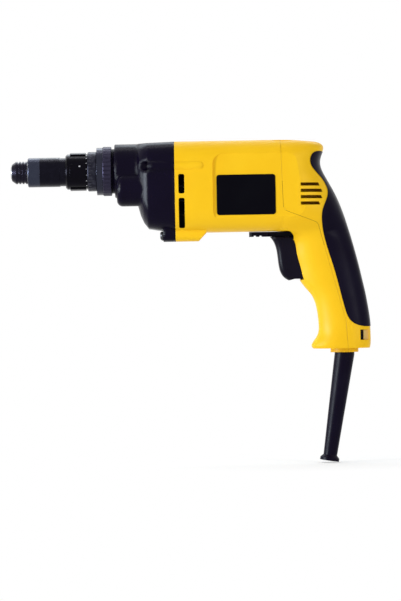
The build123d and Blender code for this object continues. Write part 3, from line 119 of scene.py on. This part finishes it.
# Lines on the torque collar and the scale ring, as stations, radii, widths and angles
COLLAR_LINES = 18
COLLAR_PHASE = 0.35
COLLAR_RIM = mm(65.9, 66.9)
COLLAR_RADIUS = 15.4 * MM
COLLAR_LINE_WIDTH = 0.7 * MM
COLLAR_PAD_RADIUS = 16.6 * MM
INDEX_DOT = mm(59.9, 61.2)
INDEX_WIDTH = 1.2 * MM
INDEX_ANGLE = math.radians(15.0)
SCALE_LINES = 36
SCALE_LONG_EVERY = 3
SCALE_FRONT = 68.1 * MM
SCALE_SHORT = 70.6 * MM
SCALE_LONG = 72.8 * MM
SCALE_RADIUS = 17.2 * MM
SCALE_LINE_WIDTH = 0.4 * MM
FLANGE_X = mm(75.0, 75.2)

# Middles of the screw heads, and the cross recess in each, drawn as a dark cross of painted shade
SCREW_HEADS = (
    mm(119.8, -31.8, 2.7),
    mm(119.8, 31.8, 2.7),
    mm(129.8, -18.0, -57.4),
    mm(129.8, 18.0, -57.4),
    mm(264.4, 0.0, -111.5),
)
RECESS_LENGTH = 3.2 * MM
RECESS_WIDTH = 0.8 * MM

# Painted shade on the floors of openings: stations, heights, and the distances of front and rear edge from
# the middle plane
HEEL_SLOT_X = mm(302.6, 305.2)
HEEL_SLOT_Z = mm(-150.9, -142.1)
HEEL_SLOT_REACH = mm(11.6, 11.6)
RAMP_X = mm(305.35, 309.9)
RAMP_REACH = mm(12.763, 9.413)
OUTLET_X = mm(144.8, 152.0)
OUTLET_Z = mm(-51.6, -39.4)
OUTLET_REACH = mm(11.5, 11.5)

# Strips of painted shade in the gaps at the trigger: stations, half width, heights
TRIGGER_GAP_X = mm(227.0, 254.0)
TRIGGER_GAP_HALF_WIDTH = 2.0 * MM
TRIGGER_GAP_Z = mm(-59.86, -59.55)
SILL_X = mm(251.6, 257.4)
SILL_HALF_WIDTH = 8.0 * MM
SILL_Z = mm(-97.66, -96.88)

# Springs: node, body, joint that presses it, station of the end that stays, share of the length kept
SPRINGS = (
    ("trigger_spring", "housing", "trigger_pull", 262.0 * MM, 0.561),
    ("sleeve_spring", "spindle", "sleeve_pull", 13.4 * MM, 0.333),
    ("clutch_spring", "housing", "nut_travel", 89.9 * MM, 0.954),
)

# The parting line of housing and cover in the side view, as corners of (station, height)
SEAM_CORNERS = (
    Vector(mm(235.2, 20.0)),
    Vector(mm(237.06, -36.9)),
    Vector(mm(266.86, -48.3)),
    Vector(mm(272.2, -67.9)),
)
SEAM_ROUND = 6.0 * MM
SEAM_STEP = 1.0 * MM
SEAM_WIDTH = 0.26 * MM
CORNER_STEPS = 8
RAY_START = 2  # half widths of the part from its middle plane


class Shader:
    """A node material with one Principled shader, and short ways to add what varies over it."""

    def __init__(self, name, base, roughness, metallic=0.0, specular=0.5, edge_radius=EDGE_RADIUS):
        self.material = bpy.data.materials.new(name)
        self.material.use_nodes = True
        self.tree = self.material.node_tree
        self.shader = self.tree.nodes["Principled BSDF"]
        self.shader.inputs["Base Color"].default_value = base
        self.shader.inputs["Roughness"].default_value = roughness
        self.shader.inputs["Metallic"].default_value = metallic
        self.shader.inputs["Specular IOR Level"].default_value = specular
        self.place = self.node("ShaderNodeTexCoord").outputs["Object"]
        edge = self.node("ShaderNodeBevel", samples=BEVEL_SAMPLES)
        edge.inputs["Radius"].default_value = edge_radius
        self.normal = edge.outputs["Normal"]

    def node(self, kind, **settings):
        made = self.tree.nodes.new(kind)
        for key, value in settings.items():
            setattr(made, key, value)
        return made

    def link(self, start, end):
        self.tree.links.new(start, end)

    def noise(self, scale, detail=3.0, rough=0.5, stretch=None):
        made = self.node("ShaderNodeTexNoise")
        made.inputs["Scale"].default_value = scale
        made.inputs["Detail"].default_value = detail
        made.inputs["Roughness"].default_value = rough
        start = self.place
        if stretch:
            mapping = self.node("ShaderNodeMapping")
            mapping.inputs["Scale"].default_value = stretch
            self.link(self.place, mapping.inputs["Vector"])
            start = mapping.outputs["Vector"]
        self.link(start, made.inputs["Vector"])
        return made.outputs["Fac"]

    def spread(self, value, low, high, start=0.3, end=0.7):
        """Map a value from one range to another, held at both ends."""
        made = self.node("ShaderNodeMapRange")
        made.inputs["From Min"].default_value = start
        made.inputs["From Max"].default_value = end
        made.inputs["To Min"].default_value = low
        made.inputs["To Max"].default_value = high
        self.link(value, made.inputs["Value"])
        return made.outputs["Result"]

    def between(self, value, first, second):
        """Mix two colours by a value. The first can be a socket instead."""
        made = self.node("ShaderNodeMix", data_type="RGBA")
        below, above = [socket for socket in made.inputs if socket.type == "RGBA"]
        if isinstance(first, bpy.types.NodeSocket):
            self.link(first, below)
        else:
            below.default_value = first
        above.default_value = second
        self.link(value, made.inputs["Factor"])
        return next(socket for socket in made.outputs if socket.type == "RGBA")

    def run_over(self, stations, colour):
        """Let the base colour run over into another one between two stations."""
        split = self.node("ShaderNodeSeparateXYZ")
        self.link(self.place, split.inputs["Vector"])
        share = self.spread(split.outputs["X"], 0.0, 1.0, *stations)
        before = self.shader.inputs["Base Color"].links[0].from_socket
        self.colour(self.between(share, before, colour))

    def bump(self, height, strength, distance):
        made = self.node("ShaderNodeBump")
        made.inputs["Strength"].default_value = strength
        made.inputs["Distance"].default_value = distance
        self.link(height, made.inputs["Height"])
        self.link(self.normal, made.inputs["Normal"])
        self.normal = made.outputs["Normal"]
        self.link(self.normal, self.shader.inputs["Normal"])

    def colour(self, socket):
        self.link(socket, self.shader.inputs["Base Color"])

    def roughness(self, socket):
        self.link(socket, self.shader.inputs["Roughness"])


def moulded(
    name, base, shade, roughness, specular=0.4, grain=2600.0, depth=0.03 * MM, edge_radius=EDGE_RADIUS
):
    """Plastic, rubber or paint: even colour with faint clouds, and a fine grain."""
    look = Shader(name, base, roughness, specular=specular, edge_radius=edge_radius)
    clouds = look.spread(look.noise(scale=38.0, detail=4.0), low=0.0, high=1.0)
    look.colour(look.between(clouds, base, shade))
    sheen = look.noise(scale=90.0, detail=3.0)
    look.roughness(look.spread(sheen, low=roughness - 0.05, high=roughness + 0.06))
    look.bump(look.noise(scale=grain, detail=2.0, rough=0.6), strength=0.3, distance=depth)
    return look


def turned(name, base, worn, roughness, wear=0.5):
    """Metal: a faint mottle on its skin, and fine turning marks round the axis."""
    look = Shader(name, base, roughness, metallic=0.9)
    mottle = look.noise(scale=260.0, detail=5.0, rough=0.6)
    look.colour(look.between(look.spread(mottle, 0.0, 1.0, start=0.45, end=0.5 + wear), base, worn))
    sheen = look.noise(scale=180.0, detail=4.0)
    look.roughness(look.spread(sheen, low=roughness - 0.05, high=roughness + 0.08))
    marks = look.noise(scale=60.0, detail=3.0, rough=0.6, stretch=(90.0, 1.0, 1.0))
    look.bump(marks, strength=0.06, distance=0.02 * MM)
    return look


# Mouldings: the yellow body, black controls, the painted casting, rubber and the plate
YELLOW = moulded(
    "yellow_plastic", rgb(0.86, 0.512, 0.008), rgb(0.84, 0.485, 0.006), roughness=0.45, specular=0.13
)
BLACK = moulded(
    "black_plastic", rgb(0.002, 0.001, 0.006), rgb(0.0035, 0.002, 0.0085), roughness=0.24, specular=0.055
)
TRIGGER = moulded(
    "trigger_plastic",
    rgb(0.002, 0.001, 0.006),
    rgb(0.0035, 0.002, 0.0085),
    roughness=0.3,
    specular=0.08,
    edge_radius=TRIGGER_EDGE_RADIUS,
)
CASE = moulded(
    "case_paint",
    rgb(0.0018, 0.0005, 0.007),
    rgb(0.0026, 0.001, 0.0095),
    roughness=0.25,
    specular=0.065,
    grain=1500.0,
    depth=0.01 * MM,
    edge_radius=CAST_EDGE_RADIUS,
)
RUBBER = moulded(
    "grip_rubber",
    rgb(0.0028, 0.0013, 0.0085),
    rgb(0.0045, 0.003, 0.012),
    roughness=0.34,
    specular=0.05,
    grain=1800.0,
    depth=0.06 * MM,
)
PLATE = moulded(
    "plate_plastic",
    rgb(0.0012, 0.001, 0.003),
    rgb(0.002, 0.002, 0.004),
    roughness=0.22,
    specular=0.03,
    grain=3200.0,
    depth=0.01 * MM,
)
CARBON = moulded("carbon", rgb(0.02, 0.02, 0.022), rgb(0.03, 0.03, 0.032), roughness=0.55)

# Marks, painted shade in recesses, slots, the parting line and the gaps at the trigger, and a dull tan on
# the heel ramps
PAINT = moulded(
    "mark_paint", rgb(0.62, 0.62, 0.65), rgb(0.48, 0.48, 0.52), roughness=0.5, specular=0.3, grain=5200.0
)
WORN_PAINT = moulded(
    "worn_paint", rgb(0.09, 0.09, 0.11), rgb(0.03, 0.03, 0.04), roughness=0.5, specular=0.2, grain=5200.0
)
# Near-black painted shade, for screw recesses and the floors of slots and outlets
RECESS_SHADOW = moulded(
    "recess_shadow", rgb(0.004, 0.004, 0.005), rgb(0.008, 0.008, 0.009), roughness=0.6, specular=0.1
)
SEAM = moulded(
    "seam_shadow", rgb(0.22, 0.11, 0.003), rgb(0.17, 0.085, 0.003), roughness=0.6, specular=0.1
)
# Near-black painted shade for the gaps at the trigger
GAP_SHADE = moulded(
    "gap_shade", rgb(0.006, 0.006, 0.008), rgb(0.012, 0.012, 0.014), roughness=0.9, specular=0.05, grain=4000.0
)
RAMP = moulded("ramp_tan", rgb(0.60, 0.42, 0.14), rgb(0.52, 0.40, 0.15), roughness=0.6, specular=0.1)
RAMP.run_over(RAMP_X, rgb(0.76, 0.41, 0.08))

# Metals: the blackened nose with its paler flange, and what is inside
NOSE = turned("nose_oxide", rgb(0.004, 0.0035, 0.0085), rgb(0.009, 0.008, 0.017), roughness=0.25)
NOSE.run_over(FLANGE_X, rgb(0.024, 0.025, 0.040))
TIP = turned("tip_oxide", rgb(0.009, 0.008, 0.016), rgb(0.018, 0.016, 0.028), roughness=0.22)
BAND = turned("nose_band", rgb(0.028, 0.032, 0.052), rgb(0.042, 0.048, 0.072), roughness=0.25)
COLLAR = turned("collar_oxide", rgb(0.0015, 0.001, 0.0035), rgb(0.003, 0.002, 0.007), roughness=0.2)
SCALE = turned("scale_oxide", rgb(0.012, 0.012, 0.021), rgb(0.038, 0.038, 0.056), roughness=0.34, wear=0.2)
RING = turned("ring_oxide", rgb(0.024, 0.021, 0.042), rgb(0.038, 0.034, 0.062), roughness=0.34)
STEEL = turned("ground_steel", rgb(0.42, 0.43, 0.45), rgb(0.55, 0.56, 0.58), roughness=0.26)
SCREW = turned("screw_steel", rgb(0.05, 0.05, 0.055), rgb(0.12, 0.12, 0.13), roughness=0.4)
SPRING = turned("spring_wire", rgb(0.30, 0.30, 0.32), rgb(0.40, 0.40, 0.42), roughness=0.3)
COPPER = turned("enamelled_copper", rgb(0.52, 0.19, 0.07), rgb(0.62, 0.25, 0.10), roughness=0.35)
IRON = turned("laminations", rgb(0.16, 0.16, 0.165), rgb(0.24, 0.24, 0.245), roughness=0.5)
BRONZE = turned("sintered_bronze", rgb(0.42, 0.27, 0.09), rgb(0.52, 0.34, 0.13), roughness=0.48)
ALLOY = turned("die_cast_alloy", rgb(0.42, 0.425, 0.43), rgb(0.5, 0.505, 0.51), roughness=0.48)

NODE_LOOKS = {
    YELLOW: ("motor_housing", "handle_cover"),
    CASE: ("gear_case",),
    RUBBER: ("rear_grip", "cord_boot"),
    TRIGGER: ("trigger",),
    BLACK: ("reversing_lever", "trigger_switch", "cord_clamp", "cooling_fan"),
    PLATE: ("nameplate",),
    NOSE: ("nose_sleeve", "spring_nut"),
    TIP: ("release_sleeve",),
    BAND: ("nose_cap",),
    COLLAR: ("torque_collar",),
    SCALE: ("scale_ring",),
    RING: ("lock_ring",),
    STEEL: (
        "bit_holder",
        "detent_ball",
        "spindle",
        "clutch_plate",
        "drive_gear",
        "layshaft",
        "layshaft_gear",
        "motor_pinion",
        "armature_shaft",
        "front_motor_bearing",
        "rear_motor_bearing",
    ),
    SCREW: ("gear_case_screws", "handle_screw", "cord_clamp_screws"),
    SPRING: ("sleeve_spring", "clutch_spring", "trigger_spring", "brush_springs"),
    COPPER: ("field_coils", "armature_windings", "commutator"),
    IRON: ("stator_core", "armature_core"),
    BRONZE: (
        "spindle_front_bush",
        "spindle_rear_bush",
        "layshaft_front_bearing",
        "layshaft_rear_bearing",
        "brush_holders",
    ),
    ALLOY: ("bearing_plate",),
    CARBON: ("carbon_brushes",),
}
for look, names in NODE_LOOKS.items():
    for name in names:
        nodes[name].data.materials.clear()
        nodes[name].data.materials.append(look.material)

# Springs: each as a copy of its node, attached to a body, that takes the node's place
for name, body, joint, station, keep in SPRINGS:
    coil = bpy.data.objects.new(name + "_coil", nodes[name].data.copy())
    coil.matrix_world = nodes[name].matrix_world
    scene.collection.objects.link(coil)
    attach(coil, body)
    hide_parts(name)
    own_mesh(coil)


def plates(name, body, look, slabs):
    """Thin plates as one mesh, each from the corners of its inner face and those of its outer one."""
    mesh = bpy.data.meshes.new(name)
    build = bmesh.new()
    for inner, outer in slabs:
        low = [build.verts.new(place) for place in inner]
        high = [build.verts.new(place) for place in outer]
        build.faces.new(low)
        build.faces.new(high)
        for number in range(len(low)):
            after = (number + 1) % len(low)
            build.faces.new((low[number], low[after], high[after], high[number]))
    bmesh.ops.recalc_face_normals(build, faces=build.faces)
    build.to_mesh(mesh)
    build.free()
    mesh.materials.append(look.material)
    piece = bpy.data.objects.new(name, mesh)
    scene.collection.objects.link(piece)
    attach(piece, body)


def graduation(stations, radius, width, angle):
    """One line of a scale round the spindle axis, at an angle counted from the left side upwards."""
    front, rear = stations
    faces = []
    for reach in (radius - MARK_SINK, radius + MARK_PROUD):
        face = []
        for station, side in ((front, -1), (front, 1), (rear, 1), (rear, -1)):
            turn = angle + side * width / 2 / radius
            face.append((station, -reach * math.cos(turn), reach * math.sin(turn)))
        faces.append(face)
    return faces


def cross_bar(place, length, width):
    """One bar of the dark cross of painted shade in a screw head's cross recess, on a head that faces
    forward.
    """
    station, y, z = place
    ends = ((-length, -width), (-length, width), (length, width), (length, -width))
    faces = []
    for depth in (MARK_SINK, -MARK_PROUD):
        faces.append([(station + depth, y + along / 2, z + across / 2) for along, across in ends])
    return faces


def flank_plates(stations, heights, reaches):
    """A thin plate on either side, from the reach of its front and rear edge beside the middle plane."""
    pair = []
    for side in (-1, 1):
        faces = []
        for lift in (-MARK_SINK, MARK_PROUD):
            edge = [(station, side * (reach + lift)) for station, reach in zip(stations, reaches)]
            face = [(station, y, heights[0]) for station, y in edge]
            face += [(station, y, heights[1]) for station, y in reversed(edge)]
            faces.append(face)
        pair.append(faces)
    return pair


def level_strip(stations, half_width, heights):
    """A flat strip across the middle plane."""
    faces = []
    for height in heights:
        face = [(station, -half_width, height) for station in stations]
        face += [(station, half_width, height) for station in reversed(stations)]
        faces.append(face)
    return faces


# Lines round the rim of the torque collar and its index dot, and the finer lines of the scale ring
collar_lines = []
for number in range(COLLAR_LINES):
    angle = math.tau * (number + COLLAR_PHASE) / COLLAR_LINES
    collar_lines.append(graduation(COLLAR_RIM, COLLAR_RADIUS, COLLAR_LINE_WIDTH, angle))
collar_lines.append(graduation(INDEX_DOT, COLLAR_PAD_RADIUS, INDEX_WIDTH, INDEX_ANGLE))
plates("collar_lines", "torque_collar", PAINT, collar_lines)
scale_lines = []
for number in range(SCALE_LINES):
    rear = SCALE_SHORT if number % SCALE_LONG_EVERY else SCALE_LONG
    angle = math.tau * number / SCALE_LINES
    scale_lines.append(graduation((SCALE_FRONT, rear), SCALE_RADIUS, SCALE_LINE_WIDTH, angle))
plates("scale_lines", "housing", WORN_PAINT, scale_lines)

# Painted shade in the cross recesses of the screws that hold the gear case and the handle, as dark crosses
# on their heads
recess_shades = []
for place in SCREW_HEADS:
    recess_shades.append(cross_bar(place, RECESS_LENGTH, RECESS_WIDTH))
    recess_shades.append(cross_bar(place, RECESS_WIDTH, RECESS_LENGTH))
plates("screw_recess_shade", "housing", RECESS_SHADOW, recess_shades)

# Painted shade: near-black plates on the floors of the slots in the heel and behind the air outlets
floor_shades = flank_plates(HEEL_SLOT_X, HEEL_SLOT_Z, HEEL_SLOT_REACH)
floor_shades += flank_plates(OUTLET_X, OUTLET_Z, OUTLET_REACH)
plates("slot_floor_shade", "housing", RECESS_SHADOW, floor_shades)

# A dull tan on the ramps behind the heel slots, greyer at the front and more orange at the rear
plates("heel_ramps", "housing", RAMP, flank_plates(RAMP_X, HEEL_SLOT_Z, RAMP_REACH))

# Painted shade: dark strips in the gaps on the trigger under the reversing lever, and on the sill of the
# trigger's opening
plates("trigger_gap_shade", "trigger", GAP_SHADE, [level_strip(TRIGGER_GAP_X, TRIGGER_GAP_HALF_WIDTH, TRIGGER_GAP_Z)])
plates("sill_gap_shade", "housing", GAP_SHADE, [level_strip(SILL_X, SILL_HALF_WIDTH, SILL_Z)])


def rounded_path(corners, rounding):
    """The corners' path with its inner corners rounded, in about even steps."""
    path = [corners[0]]
    for before, corner, after in zip(corners, corners[1:], corners[2:]):
        back = (before - corner).normalized()
        ahead = (after - corner).normalized()
        cut = rounding / math.tan(back.angle(ahead) / 2)
        for number in range(CORNER_STEPS + 1):
            share = number / CORNER_STEPS
            start = corner + back * cut * (1 - share)
            end = corner + ahead * cut * share
            path.append(start.lerp(end, share))
    path.append(corners[-1])
    steps = []
    for start, end in zip(path, path[1:]):
        count = max(1, round((end - start).length / SEAM_STEP))
        steps += [start.lerp(end, number / count) for number in range(count)]
    return steps + [path[-1]]


def skin_of(names):
    """The surface of some nodes, to be struck by rays."""
    places = []
    faces = []
    for name in names:
        node = nodes[name]
        first = len(places)
        places += [node.matrix_world @ vertex.co for vertex in node.data.vertices]
        faces += [[first + number for number in face.vertices] for face in node.data.polygons]
    return BVHTree.FromPolygons(places, faces)


def seam_plates(steps, side, skin):
    """Short dark plates laid on the skin of one side, end to end along the path."""
    half_width = cad_box[1][1]
    edges = []
    for number, middle in enumerate(steps):
        along = steps[min(number + 1, len(steps) - 1)] - steps[max(number - 1, 0)]
        across = Vector((-along.y, along.x)).normalized() * SEAM_WIDTH / 2
        pair = []
        for place in (middle - across, middle + across):
            start = Vector((place.x, side * RAY_START * half_width, place.y))
            pair.append(skin.ray_cast(start, Vector((0, -side, 0)))[0])
        edges.append(pair)
    laid = []
    for (low, high), (next_low, next_high) in zip(edges, edges[1:]):
        corners = (low, high, next_high, next_low)
        if None in corners:
            continue
        faces = []
        for lift in (-MARK_SINK, MARK_PROUD):
            reaches = [min(abs(place.y) + lift, half_width) for place in corners]
            faces.append([(place.x, side * reach, place.z) for place, reach in zip(corners, reaches)])
        laid.append(faces)
    return laid


# The parting line as a thin shadow on both flanks
seam_path = rounded_path(SEAM_CORNERS, SEAM_ROUND)
yellow_skin = skin_of(("motor_housing", "handle_cover"))
seam = seam_plates(seam_path, -1, yellow_skin) + seam_plates(seam_path, 1, yellow_skin)
plates("parting_line", "housing", SEAM, seam)

# Camera: the left side, turned as the photograph is
camera_data = bpy.data.cameras.new("camera")
camera_data.sensor_width = SENSOR
camera_data.lens = SENSOR * VIEW_DISTANCE / VIEW_HEIGHT
camera = bpy.data.objects.new("camera", camera_data)
right = Vector((math.cos(VIEW_TILT), 0.0, -math.sin(VIEW_TILT)))
up = Vector((math.sin(VIEW_TILT), 0.0, math.cos(VIEW_TILT)))
back = Vector((0.0, -1.0, 0.0))
turn = Matrix((right, up, back)).transposed()
camera.matrix_world = Matrix.Translation(VIEW_CENTRE + back * VIEW_DISTANCE) @ turn.to_4x4()
scene.collection.objects.link(camera)
scene.camera = camera

# Pale floor under the end of the bend protector
floor_mesh = bpy.data.meshes.new("floor")
build = bmesh.new()
bmesh.ops.create_grid(build, x_segments=1, y_segments=1, size=FLOOR_REACH)
build.to_mesh(floor_mesh)
build.free()
floor = bpy.data.objects.new("floor", floor_mesh)
floor.location = (VIEW_CENTRE.x, 0.0, cad_box[0][2] - FLOOR_GAP)
scene.collection.objects.link(floor)


def white_to_the_eye(tree, surface, output, share=None):
    """White for camera, glossy and transmission rays, or a share of it, the given shader for the rest."""

    def combine(operation, first, second):
        made = tree.nodes.new("ShaderNodeMath")
        made.operation = operation
        tree.links.new(first, made.inputs[0])
        tree.links.new(second, made.inputs[1])
        return made.outputs["Value"]

    path = tree.nodes.new("ShaderNodeLightPath")
    factor = path.outputs["Is Camera Ray"]
    for ray in ("Is Glossy Ray", "Is Transmission Ray"):
        factor = combine("MAXIMUM", factor, path.outputs[ray])
    if share:
        factor = combine("MULTIPLY", factor, share)
    plain = tree.nodes.new("ShaderNodeEmission" if share else "ShaderNodeBackground")
    plain.inputs["Color"].default_value = WHITE
    plain.inputs["Strength"].default_value = 1.0
    mix = tree.nodes.new("ShaderNodeMixShader")
    tree.links.new(factor, mix.inputs["Fac"])
    tree.links.new(surface, mix.inputs[1])
    tree.links.new(plain.outputs[0], mix.inputs[2])
    tree.links.new(mix.outputs["Shader"], output)


# The floor shows its own paper, and the shadow on it, close to the object's foot, and runs out to white
pale = Shader("floor_paper", PAPER_SHADE, PAPER_ROUGHNESS)
pale.colour(pale.between(pale.noise(PAPER_CLOUDS), PAPER, PAPER_SHADE))
from_foot = pale.node("ShaderNodeVectorMath", operation="DISTANCE")
from_foot.inputs[1].default_value = (FOOT_X - floor.location.x, 0.0, 0.0)
pale.link(pale.place, from_foot.inputs[0])
away = pale.spread(from_foot.outputs["Value"], SHADOW_SHARE, 1.0, SHADOW_NEAR, SHADOW_FAR)
paper_output = pale.tree.nodes["Material Output"].inputs["Surface"]
white_to_the_eye(pale.tree, pale.shader.outputs["BSDF"], paper_output, away)
floor_mesh.materials.append(pale.material)

# White surround for the eye and for reflections, soft light from it on the object
world = bpy.data.worlds.new("studio")
scene.world = world
world.use_nodes = True
world_tree = world.node_tree
world_tree.nodes.clear()
surround = world_tree.nodes.new("ShaderNodeBackground")
surround.inputs["Color"].default_value = WHITE
surround.inputs["Strength"].default_value = AMBIENT
world_output = world_tree.nodes.new("ShaderNodeOutputWorld")
white_to_the_eye(world_tree, surround.outputs["Background"], world_output.inputs["Surface"])

# Soft boxes that face the object
for name, place, width, height, watts, tint, lights_matt in LAMPS:
    light = bpy.data.lights.new(name, "AREA")
    light.color = tint
    light.shape = "RECTANGLE"
    light.size = width
    light.size_y = height
    light.energy = watts
    lamp = bpy.data.objects.new(name, light)
    aim = LAMP_TARGET - Vector(place)
    lamp.matrix_world = Matrix.Translation(place) @ aim.to_track_quat("-Z", "Y").to_matrix().to_4x4()
    lamp.visible_diffuse = lights_matt
    scene.collection.objects.link(lamp)

scene.view_settings.view_transform = "Standard"
